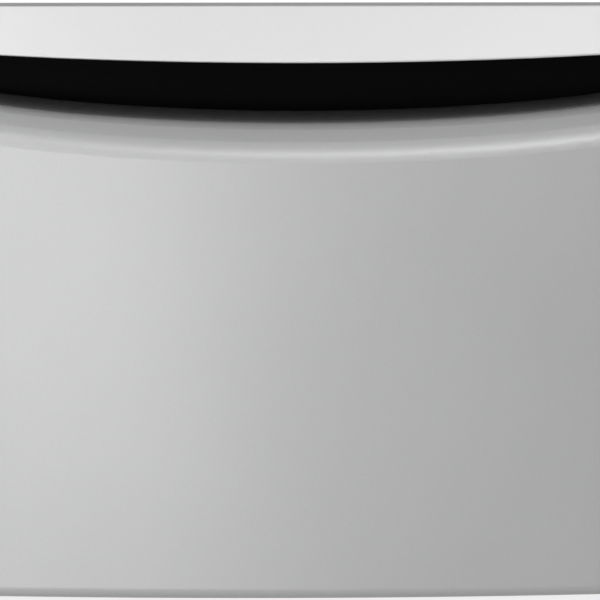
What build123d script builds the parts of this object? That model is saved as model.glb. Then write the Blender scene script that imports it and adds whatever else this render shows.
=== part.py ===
from build123d import *
import os
from math import asin, cos, degrees, sin, sqrt

# Laundry pedestal with one storage drawer, all sizes in millimetres.
# X runs across, Y from the front (minus) to the back, Z up from the floor; the origin is on the
# floor under the middle of the outer box.
width = 686.0
depth = 760.0
height = 360.4

# Front of the drawer, bowed forward in plan about one upright axis.
front_bow = 58.0
front_end_depth = 28.0
front_bottom = 14.0
lip_slope_height = 16.0
lip_slope_depth = 15.0
lip_ridge_radius = 18.0
lip_top_radius = 12.0
front_side_radius = 7.0
front_bottom_radius = 6.0
skin = 1.6
inner_panel_sheet = 2.0

# Edges of the finger recess, measured down from the deck.
fascia_drop_middle = 35.1
fascia_drop_end = 18.0
lip_drop_middle = 70.2
lip_end_gap = 2.0
lip_middle_radius = 1600.0
lip_middle_half = 130.0

# Fascia: a hollow bowed strip that leans back, with a flange that lies under the deck.
fascia_wall = 2.5
fascia_inset = 2.0
fascia_lean = 14.0
fascia_side_radius = 8.0
fascia_edge_radius = 1.0
fascia_flange = 28.0

# Handle scoop behind the lip.
lip_depth = 28.0
scoop_wall = 2.5
scoop_end_depth = 13.2
scoop_depth = 31.8
scoop_behind = 13.5
scoop_end_radius = 5.0
backplate_margin = 31.0
backplate_clear = 1.0
backplate_lift = 0.2
scoop_boss_radius = 5.0

# Cabinet sheet metal.
sheet = 1.2
bend_radius = 3.0
deck_sheet = 2.0
deck_corner = 6.0
floor_clear = 16.0
front_gap = 3.0
front_flange = 22.0
rear_flange = 18.0
top_flange = 18.0
top_rail_height = 34.0
top_rail_depth = 28.0
base_rail_height = 28.0
base_rail_depth = 36.0
gusset_leg = 90.0
gusset_sheet = 2.0
beam_sheet = 2.0
beam_width = 50.0
beam_height = 22.0
bead_count = 5
bead_pitch = 80.0
bead_width = 14.0
bead_depth = 3.0
bead_end_clear = 80.0
rear_field_margin = 60.0
rear_field_depth = 6.0
rear_field_taper = 40.0
rear_field_corner = 20.0

# Holes in the deck that bolt the washer down, set in from its edges.
washer_hole_radius = 5.5
washer_inset_x = 53.0
washer_inset_y = 64.5

# Drawer bin.
bin_sheet = 1.0
bin_bend = 2.0
bin_floor_clear = 8.0
bin_height = 210.0
bin_rear_clear = 92.0
bin_flange = 16.0
bin_hem = 7.0
bin_hem_turn = 5.0
bin_bead_depth = 1.5
bin_bead_end_clear = 40.0

# Telescopic slides: three nested channels with a ball cage in each gap.
slide_short_of_bin = 30.0
slide_overlap = 20.0
slide_thickness = 12.7
slide_sheet = 1.2
slide_bend = 1.5
slide_height = 45.5
slide_above_bin = 58.0
slide_side_clear = 0.5
slide_inset = 11.0
channel_depth = 7.2
ball_radius = 1.6
ball_clear = 0.3
cage_sheet = 0.8
cage_clear = 0.6
cage_flange = 5.8
cage_margin = 7.5
ball_count = 8
bracket_sheet = 1.5
bracket_web = 40.0
bracket_foot = 14.0
bracket_height = 60.0
bracket_end_inset = 60.0
bracket_screw_offset = 10.0

# Levelling feet.
foot_inset = 32.0
stud_radius = 5.0
stud_top_clear = 2.0
stud_chamfer = 1.0
thread_clear = 0.3
pad_radius = 18.0
pad_height = 4.0
flange_radius = 15.0
flange_height = 2.0
foot_hex_flat = 19.0
foot_hex_height = 3.0
foot_stop_gap = 1.0
nut_flat = 17.0
weld_nut_height = 8.0
pad_round = 1.2

# Screws and bumpers.
screw_radius = 2.0
screw_head_radius = 4.0
screw_head_height = 2.0
screw_head_round = 0.6
screw_clear = 0.2
screw_tail = 8.0
cross_length = 4.4
cross_width = 0.9
cross_depth = 1.2
bumper_radius = 5.0
bumper_stem_radius = 2.5
bumper_clear = 0.3
bumper_barb = 0.7
bumper_barb_height = 2.8
bumper_barb_taper = 22.0

# Places of the screws and bumpers, as shares of the edge that they hold.
scoop_screw_shares = (-0.8, -0.3, 0.3, 0.8)
fascia_screw_shares = (-0.8, -0.4, 0.0, 0.4, 0.8)
fascia_screw_edge = 11.2
deck_screw_shares = (-0.42, 0.0, 0.42)
upright_screw_shares = (0.15, 0.5, 0.85)
slide_screw_shares = (0.08, 0.5, 0.92)
bumper_shares = (0.2, 0.8)

# Planes and levels that follow from the sizes above.
half_width = width / 2
front_y = -depth / 2
bow_radius = (half_width**2 + front_bow**2) / (2 * front_bow)
bow_axis_y = front_y + bow_radius
drawer_back_y = front_y + front_bow + front_end_depth
cabinet_y = drawer_back_y + front_gap
rear_y = depth / 2 - screw_head_height
rear_flange_y = rear_y - sheet
deck_bottom = height - deck_sheet
fascia_middle_z = height - fascia_drop_middle
fascia_end_z = height - fascia_drop_end
lip_middle_z = height - lip_drop_middle
lip_end_z = fascia_end_z - lip_end_gap
lip_foot_z = lip_middle_z - 2 * lip_slope_height
lip_slope_length = sqrt(lip_slope_height**2 + lip_slope_depth**2)
lip_slope_spare = lip_slope_height + lip_slope_depth - lip_slope_length
lip_top_facing = (1 + lip_slope_depth / lip_slope_length) / 2
wall_x = half_width - sheet
rail_half = half_width - bend_radius
rail_y = cabinet_y + sheet
rail_back_y = rail_y + top_rail_depth
rear_rail_y = rear_flange_y - sheet
fascia_flange_bottom = deck_bottom - fascia_wall
base_top = floor_clear + base_rail_height
bin_bottom = base_top + bin_floor_clear
bin_top = bin_bottom + bin_height
bin_back_y = rear_y - bin_rear_clear
bin_depth = bin_back_y - drawer_back_y
slide_length = bin_depth - slide_short_of_bin
slide_travel = slide_length - slide_overlap
slide_x = half_width - front_flange - slide_side_clear
bin_half = slide_x - slide_thickness
slide_z = bin_bottom + slide_above_bin
slide_front_y = cabinet_y + slide_inset
deck_middle_y = (cabinet_y + rear_y) / 2
foot_x = wall_x - base_rail_depth / 2
foot_rows = (cabinet_y + foot_inset, rear_flange_y - foot_inset)
screw_hole = screw_radius + screw_clear
washer_spacing_x = width - 2 * washer_inset_x
washer_spacing_y = rear_y - cabinet_y - 2 * washer_inset_y
scoop_back_y = drawer_back_y - scoop_behind
scoop_floor = lip_middle_z - scoop_depth
scoop_end_y = scoop_back_y - scoop_wall - scoop_end_depth
scoop_half = sqrt((bow_radius - lip_depth) ** 2 - (bow_axis_y - scoop_end_y) ** 2)
backplate_half = half_width - backplate_margin
overrun = 20.0

# Where the screws, bumpers and slide brackets sit.
scoop_screw_x = [share * scoop_half for share in scoop_screw_shares]
scoop_screw_z = scoop_floor + scoop_boss_radius
bin_screw_x = bin_half - bin_flange / 2 - bin_sheet
bin_screw_rows = [bin_bottom + share * bin_height for share in upright_screw_shares]
deck_screw_x = half_width - top_flange / 2
deck_screw_rows = [deck_middle_y + share * (rear_y - cabinet_y) for share in deck_screw_shares]
rear_screw_x = half_width - rear_flange / 2
rear_screw_rows = [floor_clear + share * (deck_bottom - floor_clear) for share in upright_screw_shares]
bumper_x = half_width - front_flange / 2
bumper_rows = [floor_clear + share * (fascia_end_z - floor_clear) for share in bumper_shares]
fascia_screw_x = [share * rail_half for share in fascia_screw_shares]
fascia_screw_y = cabinet_y + fascia_flange - fascia_screw_edge
bracket_rows = (slide_front_y + bracket_end_inset, slide_front_y + slide_length - bracket_end_inset)
slide_screw_rows = [slide_front_y + share * slide_length for share in slide_screw_shares]


# Y of the bowed front at a given X, or of the same bow set back by an inset.
def bow_y(x, inset=0.0):
    return bow_axis_y - sqrt((bow_radius - inset) ** 2 - x**2)


# Everything above the smile-shaped top edge of the drawer front, lowered by a wall thickness.
def space_above_lip(lowered):
    middle_z = lip_middle_z - lowered
    turn_z = middle_z + lip_middle_radius - sqrt(lip_middle_radius**2 - lip_middle_half**2)
    end_z = lip_end_z - lowered
    outside = half_width + overrun
    ceiling = height + overrun
    with BuildPart() as space:
        with BuildSketch(Plane.XZ):
            with BuildLine():
                middle = ThreePointArc((-lip_middle_half, turn_z), (0, middle_z), (lip_middle_half, turn_z))
                right = TangentArc(middle @ 1, (half_width, end_z), tangent=middle % 1)
                left = TangentArc(middle @ 0, (-half_width, end_z), tangent=(middle % 0) * -1)
                right_side = ((outside, end_z), (outside, ceiling))
                left_side = ((-outside, ceiling), (-outside, end_z))
                Polyline(right @ 1, *right_side, *left_side, left @ 1)
            make_face()
        extrude(amount=depth)
    return space.part


# Everything above the arched lower edge of the fascia, raised by a wall thickness.
def space_above_arch(raised):
    ends_z = fascia_end_z + raised
    outside = half_width + overrun
    ceiling = height + overrun
    with BuildPart() as space:
        with BuildSketch(Plane.XZ):
            with BuildLine():
                middle_z = fascia_middle_z + raised
                arch = ThreePointArc((-half_width, ends_z), (0, middle_z), (half_width, ends_z))
                right_side = ((outside, ends_z), (outside, ceiling))
                left_side = ((-outside, ceiling), (-outside, ends_z))
                Polyline(arch @ 1, *right_side, *left_side, arch @ 0)
            make_face()
        extrude(amount=depth)
    return space.part


# Solid form of the drawer front, set in by a wall thickness on every side but the back.
def front_form(inset, back_y):
    side_x = half_width - inset
    bottom_z = front_bottom + inset
    end_y = bow_y(side_x, inset)
    with BuildPart() as form:
        with BuildSketch(Plane.XY.offset(bottom_z)):
            with BuildLine():
                bow = ThreePointArc((-side_x, end_y), (0, front_y + inset), (side_x, end_y))
                Polyline(bow @ 1, (side_x, back_y), (-side_x, back_y), bow @ 0)
            make_face()
        extrude(amount=height - bottom_z)
        add(space_above_lip(inset), mode=Mode.SUBTRACT)
        slope_height = lip_slope_height - inset * lip_slope_spare / lip_slope_depth
        slope_depth = lip_slope_depth - inset * lip_slope_spare / lip_slope_height
        front_face = form.faces().sort_by(Axis.Y)[0]
        lip_edges = front_face.edges().filter_by_position(Axis.Z, lip_foot_z, height)
        chamfer(lip_edges, slope_height, slope_depth, reference=front_face)
        ridge_edges = form.faces().sort_by(Axis.Y)[0].edges()
        fillet(ridge_edges.filter_by_position(Axis.Z, lip_foot_z, height), lip_ridge_radius - inset)
        top_faces = form.faces().filter_by(lambda face: face.normal_at().Z > lip_top_facing)
        fillet([face.edges().sort_by(Axis.Y)[0] for face in top_faces], lip_top_radius - inset)
        side_edges = form.faces().filter_by(Axis.X).edges()
        side_edges = side_edges.filter_by(lambda edge: bottom_z + skin < edge.center().Z)
        side_edges = side_edges.filter_by(lambda edge: edge.center().Y < back_y - skin)
        fillet(side_edges, front_side_radius - inset)
        bottom_edges = form.edges().group_by(Axis.Z)[0]
        bottom_edges = bottom_edges.filter_by(lambda edge: edge.center().Y < back_y - skin)
        fillet(bottom_edges, front_bottom_radius - inset)
    return form.part


# Solid form of the fascia, set in by a wall thickness on every side but the back.
def fascia_form(inset, back_y):
    top_z = deck_bottom - inset
    foot_z = fascia_middle_z - overrun
    lean_per_mm = fascia_lean / (deck_bottom - fascia_middle_z)
    foot_r = bow_radius - fascia_inset - inset + lean_per_mm * overrun
    top_r = foot_r - lean_per_mm * (top_z - foot_z)
    inner_r = bow_axis_y - back_y - overrun
    swing = asin((half_width + overrun) / inner_r)
    start = Vector(-sin(swing), -cos(swing), 0)
    profile_plane = Plane((0, bow_axis_y, 0), x_dir=start, z_dir=start.cross(Vector(0, 0, 1)))
    with BuildPart() as form:
        with BuildSketch(profile_plane):
            with BuildLine():
                Polyline((inner_r, foot_z), (foot_r, foot_z), (top_r, top_z), (inner_r, top_z), close=True)
            make_face()
        revolve(axis=Axis((0, bow_axis_y, 0), (0, 0, 1)), revolution_arc=2 * degrees(swing))
        with BuildSketch(Plane.XY):
            with Locations((0, back_y)):
                Rectangle(width - 2 * inset, depth, align=(Align.CENTER, Align.MAX))
        extrude(amount=height, mode=Mode.INTERSECT)
        add(space_above_arch(inset), mode=Mode.INTERSECT)
        side_edges = form.faces().filter_by(Axis.X).edges()
        fillet(side_edges.sort_by(Axis.Y)[:2], fascia_side_radius - inset)
        if inset < fascia_edge_radius:
            front_edges = form.faces().sort_by(Axis.Y)[0].edges()
            fillet(front_edges.filter_by(lambda edge: edge.length > half_width), fascia_edge_radius)
    return form.part


# Closed section of a bent sheet whose outer face follows a chain of points.
def bent_section(plane, points, radius, thickness, side):
    with BuildSketch(plane) as section:
        with BuildLine():
            FilletPolyline(*points, radius=radius)
            offset(amount=thickness, side=side)
        make_face()
    return section.sketch


# Pan head screw: head on the plane, shank along its reversed normal.
def pan_screw(seat, length):
    with BuildPart() as screw:
        with BuildSketch(seat):
            Circle(screw_head_radius)
        extrude(amount=screw_head_height)
        head_rims = screw.edges().filter_by(GeomType.CIRCLE)
        head_top = seat.offset(screw_head_height)
        fillet(head_rims.sort_by_distance(head_top.origin)[0], screw_head_round)
        with BuildSketch(seat):
            Circle(screw_radius)
        extrude(amount=-length)
        with BuildSketch(head_top):
            Rectangle(cross_length, cross_width)
            Rectangle(cross_width, cross_length)
        extrude(amount=-cross_depth, mode=Mode.SUBTRACT)
    return screw.part


# Countersunk screw: top of the head on the plane, shank along its reversed normal.
def flush_screw(seat, length):
    with BuildPart() as screw:
        with BuildSketch(seat):
            Circle(screw_head_radius)
        with BuildSketch(seat.offset(-screw_head_height)):
            Circle(screw_radius)
        loft()
        with BuildSketch(seat.offset(-screw_head_height)):
            Circle(screw_radius)
        extrude(amount=-length)
        with BuildSketch(seat):
            Rectangle(cross_length, cross_width)
            Rectangle(cross_width, cross_length)
        extrude(amount=-cross_depth, mode=Mode.SUBTRACT)
    return screw.part


# Clearance for a countersunk screw.
def flush_hole(seat, length):
    with BuildPart() as hole:
        with BuildSketch(seat):
            Circle(screw_head_radius + screw_clear)
        with BuildSketch(seat.offset(-screw_head_height)):
            Circle(screw_hole)
        loft()
        with BuildSketch(seat.offset(-screw_head_height)):
            Circle(screw_hole)
        extrude(amount=-length)
    return hole.part


# Straight clearance bore along the normal of a plane, the same length both ways.
def bore(seat, radius, reach):
    with BuildPart() as hole:
        with BuildSketch(seat):
            Circle(radius)
        extrude(amount=reach, both=True)
    return hole.part


# Twin of a piece on the other side of the middle plane.
def mirrored(piece):
    with BuildPart() as twin:
        mirror(piece.part, about=Plane.YZ)
    return twin


# Block between two corners given as (X, Y, Z).
def block(low, high):
    size = [far - near for near, far in zip(low, high)]
    with BuildPart() as solid:
        with Locations(low):
            Box(*size, align=(Align.MIN, Align.MIN, Align.MIN))
    return solid.part


# Plan form of the finger pocket, grown outwards by a wall thickness.
def scoop_form(grow):
    side_x = scoop_half + grow
    front_inset = lip_depth - grow
    wall_y = scoop_back_y - scoop_wall + grow
    end_y = bow_y(side_x, front_inset)
    floor_z = scoop_floor - grow
    with BuildPart() as form:
        with BuildSketch(Plane.XY.offset(floor_z)) as plan:
            with BuildLine():
                bow = ThreePointArc((-side_x, end_y), (0, front_y + front_inset), (side_x, end_y))
                Polyline(bow @ 1, (side_x, wall_y), (-side_x, wall_y), bow @ 0)
            make_face()
            fillet(plan.vertices(), scoop_end_radius + grow)
        extrude(amount=height - floor_z)
    return form.part


# Drawer front skin: the bowed shell, open at the back and over the scoop.
with BuildPart() as front_skin:
    add(front_form(0.0, drawer_back_y))
    add(front_form(skin, drawer_back_y + overrun), mode=Mode.SUBTRACT)
    add(scoop_form(0.0), mode=Mode.SUBTRACT)
    slot_low = (-scoop_half, scoop_back_y - scoop_wall, scoop_floor)
    add(block(slot_low, (scoop_half, scoop_back_y, height)), mode=Mode.SUBTRACT)

# Flat panel that closes the back of the skin.
with BuildPart() as front_inner_panel:
    add(front_form(skin, drawer_back_y))
    panel_front_y = drawer_back_y - inner_panel_sheet
    slab = block((-half_width, panel_front_y, front_bottom), (half_width, drawer_back_y, height))
    add(slab, mode=Mode.INTERSECT)
    panel_holes = [(x, scoop_screw_z) for x in scoop_screw_x]
    panel_holes += [(x, z) for x in (-bin_screw_x, bin_screw_x) for z in bin_screw_rows]
    for x, z in panel_holes:
        hole_seat = Plane((x, drawer_back_y, z), z_dir=(0, 1, 0))
        add(bore(hole_seat, screw_hole, screw_tail), mode=Mode.SUBTRACT)

# Handle scoop: the finger pocket, a backplate that fills the smile behind it and four bosses.
with BuildPart() as handle_scoop:
    add(scoop_form(scoop_wall))
    add(scoop_form(0.0), mode=Mode.SUBTRACT)
    add(space_above_lip(skin), mode=Mode.SUBTRACT)
    with BuildPart(mode=Mode.PRIVATE) as backplate:
        wall_y = scoop_back_y - scoop_wall
        add(block((-backplate_half, wall_y, scoop_floor), (backplate_half, scoop_back_y, height)))
        add(space_above_lip(-backplate_lift), mode=Mode.INTERSECT)
        add(block((-scoop_half, wall_y, scoop_floor), (scoop_half, scoop_back_y, height)))
        add(space_above_arch(-backplate_clear), mode=Mode.SUBTRACT)
    add(backplate.part)
    for x in scoop_screw_x:
        boss_seat = Plane((x, panel_front_y, scoop_screw_z), z_dir=(0, 1, 0))
        with BuildSketch(boss_seat):
            Circle(scoop_boss_radius)
            Circle(screw_hole, mode=Mode.SUBTRACT)
        extrude(amount=scoop_back_y - panel_front_y)

with BuildPart() as scoop_screws:
    for x in scoop_screw_x:
        add(pan_screw(Plane((x, drawer_back_y, scoop_screw_z), z_dir=(0, 1, 0)), screw_tail))

# Fascia: hollow strip with a flange that is screwed to the front top rail under the deck.
with BuildPart() as fascia:
    add(fascia_form(0.0, cabinet_y))
    add(fascia_form(fascia_wall, cabinet_y + overrun), mode=Mode.SUBTRACT)
    flange_half = half_width - max(front_flange, top_flange) - fascia_wall
    flange_low = (-flange_half, cabinet_y - fascia_wall, fascia_flange_bottom)
    add(block(flange_low, (flange_half, cabinet_y + fascia_flange, deck_bottom)))
    for x in fascia_screw_x:
        add(flush_hole(Plane((x, fascia_screw_y, deck_bottom)), screw_tail), mode=Mode.SUBTRACT)

with BuildPart() as fascia_screws:
    for x in fascia_screw_x:
        add(flush_screw(Plane((x, fascia_screw_y, deck_bottom)), screw_tail))

# Top deck with beads pressed down into it and the four washer holes.
with BuildPart() as top_deck:
    bead_length = rear_rail_y - top_rail_depth - rail_back_y - 2 * bead_end_clear
    bead_spots = [((i - (bead_count - 1) / 2) * bead_pitch, deck_middle_y) for i in range(bead_count)]
    with BuildSketch(Plane.XY.offset(deck_bottom)):
        with Locations((0, deck_middle_y)):
            RectangleRounded(width, rear_y - cabinet_y, deck_corner)
    extrude(amount=deck_sheet)
    with BuildSketch(Plane.XY.offset(deck_bottom)):
        with Locations(*bead_spots):
            SlotOverall(bead_length + 2 * deck_sheet, bead_width + 2 * deck_sheet, rotation=90)
    extrude(amount=-bead_depth)
    with BuildSketch(Plane.XY.offset(height)):
        with Locations(*bead_spots):
            SlotOverall(bead_length, bead_width, rotation=90)
    extrude(amount=-bead_depth, mode=Mode.SUBTRACT)
    with BuildSketch(Plane.XY.offset(height)):
        with Locations((0, deck_middle_y)):
            with GridLocations(washer_spacing_x, washer_spacing_y, 2, 2):
                Circle(washer_hole_radius)
    extrude(amount=-deck_sheet, mode=Mode.SUBTRACT)
    for x in (-deck_screw_x, deck_screw_x):
        for y in deck_screw_rows:
            add(flush_hole(Plane((x, y, height)), screw_tail), mode=Mode.SUBTRACT)

with BuildPart() as deck_screws:
    for x in (-deck_screw_x, deck_screw_x):
        for y in deck_screw_rows:
            add(flush_screw(Plane((x, y, height)), screw_tail))

# Side panel: one sheet bent in at the front, the rear and the top.
with BuildPart() as right_side_panel:
    panel_points = [
        (half_width - front_flange, cabinet_y),
        (half_width, cabinet_y),
        (half_width, rear_flange_y),
        (half_width - rear_flange, rear_flange_y),
    ]
    panel_foot = Plane.XY.offset(floor_clear)
    panel_section = bent_section(panel_foot, panel_points, bend_radius, sheet, Side.LEFT)
    extrude(panel_section, amount=deck_bottom - floor_clear)
    turn_low = (half_width - top_flange, cabinet_y + bend_radius, deck_bottom - sheet)
    add(block(turn_low, (wall_x + sheet / 2, rear_flange_y - bend_radius, deck_bottom)))
    for y in deck_screw_rows:
        add(bore(Plane((deck_screw_x, y, deck_bottom)), screw_hole, screw_tail), mode=Mode.SUBTRACT)
    for z in rear_screw_rows:
        hole_seat = Plane((rear_screw_x, rear_y, z), z_dir=(0, 1, 0))
        add(bore(hole_seat, screw_hole, screw_tail), mode=Mode.SUBTRACT)
    for z in bumper_rows:
        hole_seat = Plane((bumper_x, cabinet_y, z), z_dir=(0, 1, 0))
        hole_radius = bumper_stem_radius + screw_clear / 2
        add(bore(hole_seat, hole_radius, screw_tail), mode=Mode.SUBTRACT)
left_side_panel = mirrored(right_side_panel)

# Rear panel with a shallow field pressed inwards.
with BuildPart() as rear_panel:
    field_width = width - 2 * rear_field_margin
    panel_height = deck_bottom - floor_clear
    field_height = panel_height - 2 * rear_field_margin
    middle_z = floor_clear + panel_height / 2
    field_seat = Plane((0, rear_y, middle_z), x_dir=(1, 0, 0), z_dir=(0, -1, 0))
    with BuildSketch(field_seat):
        Rectangle(2 * rail_half, panel_height - 2 * bend_radius)
    extrude(amount=sheet)
    with BuildSketch(field_seat.offset(sheet)):
        RectangleRounded(field_width, field_height, rear_field_corner)
    extrude(amount=rear_field_depth, taper=rear_field_taper)
    with BuildSketch(field_seat):
        RectangleRounded(field_width - 2 * sheet, field_height - 2 * sheet, rear_field_corner - sheet)
    extrude(amount=rear_field_depth, taper=rear_field_taper, mode=Mode.SUBTRACT)
    for x in (-rear_screw_x, rear_screw_x):
        for z in rear_screw_rows:
            hole_seat = Plane((x, rear_y, z), z_dir=(0, 1, 0))
            add(bore(hole_seat, screw_hole, screw_tail), mode=Mode.SUBTRACT)

with BuildPart() as rear_panel_screws:
    for x in (-rear_screw_x, rear_screw_x):
        for z in rear_screw_rows:
            add(pan_screw(Plane((x, rear_y, z), z_dir=(0, 1, 0)), screw_tail))

# Channels across the cabinet under the deck.
with BuildPart() as top_rail_front:
    rail_points = [
        (rail_back_y, fascia_flange_bottom),
        (rail_y, fascia_flange_bottom),
        (rail_y, fascia_flange_bottom - top_rail_height),
        (rail_back_y, fascia_flange_bottom - top_rail_height),
    ]
    rail_section = bent_section(Plane.YZ, rail_points, bend_radius, sheet, Side.LEFT)
    extrude(rail_section, amount=rail_half, both=True)
    for x in fascia_screw_x:
        hole_seat = Plane((x, fascia_screw_y, fascia_flange_bottom))
        add(bore(hole_seat, screw_hole, screw_tail), mode=Mode.SUBTRACT)

with BuildPart() as top_rail_rear:
    rear_rail_top = deck_bottom - sheet
    rail_points = [
        (rear_rail_y - top_rail_depth, rear_rail_top),
        (rear_rail_y, rear_rail_top),
        (rear_rail_y, rear_rail_top - top_rail_height),
        (rear_rail_y - top_rail_depth, rear_rail_top - top_rail_height),
    ]
    rail_section = bent_section(Plane.YZ, rail_points, bend_radius, sheet, Side.RIGHT)
    extrude(rail_section, amount=rail_half, both=True)
    for x in (-deck_screw_x, deck_screw_x):
        hole_seat = Plane((x, deck_screw_rows[-1], rear_rail_top))
        add(bore(hole_seat, screw_hole, screw_tail), mode=Mode.SUBTRACT)

# Beam under each row of washer holes, open downwards so that a bolt goes in from below.
with BuildPart() as deck_beam_right:
    beam_x = washer_spacing_x / 2
    beam_points = [
        (beam_x - beam_width / 2, deck_bottom - beam_height),
        (beam_x - beam_width / 2, deck_bottom),
        (beam_x + beam_width / 2, deck_bottom),
        (beam_x + beam_width / 2, deck_bottom - beam_height),
    ]
    beam_length = rear_rail_y - top_rail_depth - rail_back_y
    beam_end = Plane.XZ.offset(top_rail_depth - rear_rail_y)
    beam_section = bent_section(beam_end, beam_points, bend_radius, beam_sheet, Side.RIGHT)
    extrude(beam_section, amount=beam_length)
    for y in (deck_middle_y - washer_spacing_y / 2, deck_middle_y + washer_spacing_y / 2):
        hole_seat = Plane((beam_x, y, deck_bottom))
        add(bore(hole_seat, washer_hole_radius, beam_height), mode=Mode.SUBTRACT)
deck_beam_left = mirrored(deck_beam_right)

# Channels around the foot of the cabinet.
with BuildPart() as base_rail_right:
    rail_points = [
        (wall_x - base_rail_depth, base_top),
        (wall_x, base_top),
        (wall_x, floor_clear),
        (wall_x - base_rail_depth, floor_clear),
    ]
    rail_length = rear_flange_y - cabinet_y - 2 * bend_radius
    rail_end = Plane.XZ.offset(bend_radius - rear_flange_y)
    rail_section = bent_section(rail_end, rail_points, bend_radius, sheet, Side.RIGHT)
    extrude(rail_section, amount=rail_length)
    for y in foot_rows:
        hole_seat = Plane((foot_x, y, floor_clear))
        add(bore(hole_seat, stud_radius + thread_clear, overrun), mode=Mode.SUBTRACT)
base_rail_left = mirrored(base_rail_right)

with BuildPart() as base_rail_front:
    rail_points = [
        (rail_y + top_rail_depth, base_top),
        (rail_y, base_top),
        (rail_y, floor_clear),
        (rail_y + top_rail_depth, floor_clear),
    ]
    base_half = wall_x - base_rail_depth
    rail_section = bent_section(Plane.YZ, rail_points, bend_radius, sheet, Side.LEFT)
    extrude(rail_section, amount=base_half, both=True)

with BuildPart() as base_rail_rear:
    rail_points = [
        (rear_rail_y - top_rail_depth, base_top),
        (rear_rail_y, base_top),
        (rear_rail_y, floor_clear),
        (rear_rail_y - top_rail_depth, floor_clear),
    ]
    rail_section = bent_section(Plane.YZ, rail_points, bend_radius, sheet, Side.RIGHT)
    extrude(rail_section, amount=base_half, both=True)

# Triangular plates that tie the base rails together at the corners.
with BuildPart() as corner_gussets:
    gusset_x = rail_half - bend_radius
    gusset_ends = ((cabinet_y + 2 * bend_radius, 1), (rear_flange_y - 2 * bend_radius, -1))
    for x_side in (-1, 1):
        for corner_y, inward in gusset_ends:
            with BuildSketch(Plane.XY.offset(base_top)):
                with BuildLine():
                    Polyline(
                        (x_side * gusset_x, corner_y),
                        (x_side * (gusset_x - gusset_leg), corner_y),
                        (x_side * gusset_x, corner_y + inward * gusset_leg),
                        close=True,
                    )
                make_face()
            extrude(amount=gusset_sheet)

# Hexagon nuts around the foot studs: welded inside the rail, locked below it.
foot_spots = [(x, y) for x in (-foot_x, foot_x) for y in foot_rows]
stud_top = base_top - sheet - stud_top_clear
foot_hex_top = pad_height + flange_height + foot_hex_height
lock_nut_bottom = foot_hex_top + foot_stop_gap
with BuildPart() as foot_weld_nuts:
    with BuildSketch(Plane.XY.offset(floor_clear + sheet)):
        with Locations(*foot_spots):
            RegularPolygon(nut_flat / 2, 6, major_radius=False)
            Circle(stud_radius + thread_clear, mode=Mode.SUBTRACT)
    extrude(amount=weld_nut_height)

with BuildPart() as foot_lock_nuts:
    with BuildSketch(Plane.XY.offset(lock_nut_bottom)):
        with Locations(*foot_spots):
            RegularPolygon(nut_flat / 2, 6, major_radius=False)
            Circle(stud_radius + thread_clear, mode=Mode.SUBTRACT)
    extrude(amount=floor_clear - lock_nut_bottom)


# Stud of one foot: flange on the pad, wrench hexagon, threaded shank.
def foot_stud(x, y):
    with BuildPart() as stud:
        with BuildSketch(Plane((x, y, pad_height))):
            Circle(flange_radius)
        extrude(amount=flange_height)
        with BuildSketch(Plane((x, y, pad_height + flange_height))):
            RegularPolygon(foot_hex_flat / 2, 6, major_radius=False)
        extrude(amount=foot_hex_height)
        with BuildSketch(Plane((x, y, foot_hex_top))):
            Circle(stud_radius)
        extrude(amount=stud_top - foot_hex_top)
        chamfer(stud.edges().group_by(Axis.Z)[-1], stud_chamfer)
    return stud


# Rubber pad of one foot.
def foot_pad(x, y):
    with BuildPart() as pad:
        with BuildSketch(Plane((x, y, 0))):
            Circle(pad_radius)
        extrude(amount=pad_height)
        fillet(pad.edges(), pad_round)
    return pad


# Rubber bumpers that the closed drawer rests against, pushed into the front flanges.
with BuildPart() as drawer_bumpers:
    for x in (-bumper_x, bumper_x):
        for z in bumper_rows:
            bumper_seat = Plane((x, cabinet_y, z), z_dir=(0, -1, 0))
            with BuildSketch(bumper_seat):
                Circle(bumper_radius)
            extrude(amount=front_gap - bumper_clear)
            with BuildSketch(bumper_seat):
                Circle(bumper_stem_radius)
            extrude(amount=-sheet)
            with BuildSketch(bumper_seat.offset(-sheet)):
                Circle(bumper_stem_radius + bumper_barb)
            extrude(amount=-bumper_barb_height, taper=bumper_barb_taper)

# Section of the telescopic slide, from the cabinet towards the bin.
ball_gap = 2 * (ball_radius + ball_clear)
outer_half = slide_height / 2
middle_half = outer_half - slide_sheet - ball_gap
inner_half = middle_half - slide_sheet - ball_gap
outer_cage_u = slide_sheet + cage_clear
middle_u = outer_cage_u + cage_sheet + cage_clear
inner_cage_u = middle_u + slide_sheet + cage_clear
inner_open_u = inner_cage_u + cage_sheet + cage_clear
outer_lip_u = middle_u + channel_depth
cage_front_y = slide_front_y + slide_travel / 4 + cage_margin
cage_length = slide_length - slide_travel / 2 - 2 * cage_margin


# One channel of the right slide: web at one side, two flanges that reach to the other.
def slide_channel(web_u, lip_u, half_height, thickness, front, length):
    points = [
        (slide_x - lip_u, slide_z + half_height),
        (slide_x - web_u, slide_z + half_height),
        (slide_x - web_u, slide_z - half_height),
        (slide_x - lip_u, slide_z - half_height),
    ]
    side = Side.RIGHT if web_u < lip_u else Side.LEFT
    with BuildPart() as channel:
        section = bent_section(Plane.XZ.offset(-front - length), points, slide_bend, thickness, side)
        extrude(section, amount=length)
    return channel.part


# Middle of every ball in a cage: rows above and below, spread along the cage.
def ball_spots(ball_u, ball_half):
    pitch = cage_length / ball_count
    rows = [cage_front_y + (i + 0.5) * pitch for i in range(ball_count)]
    return [(slide_x - ball_u, y, slide_z + v) for v in (-ball_half, ball_half) for y in rows]


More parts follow.
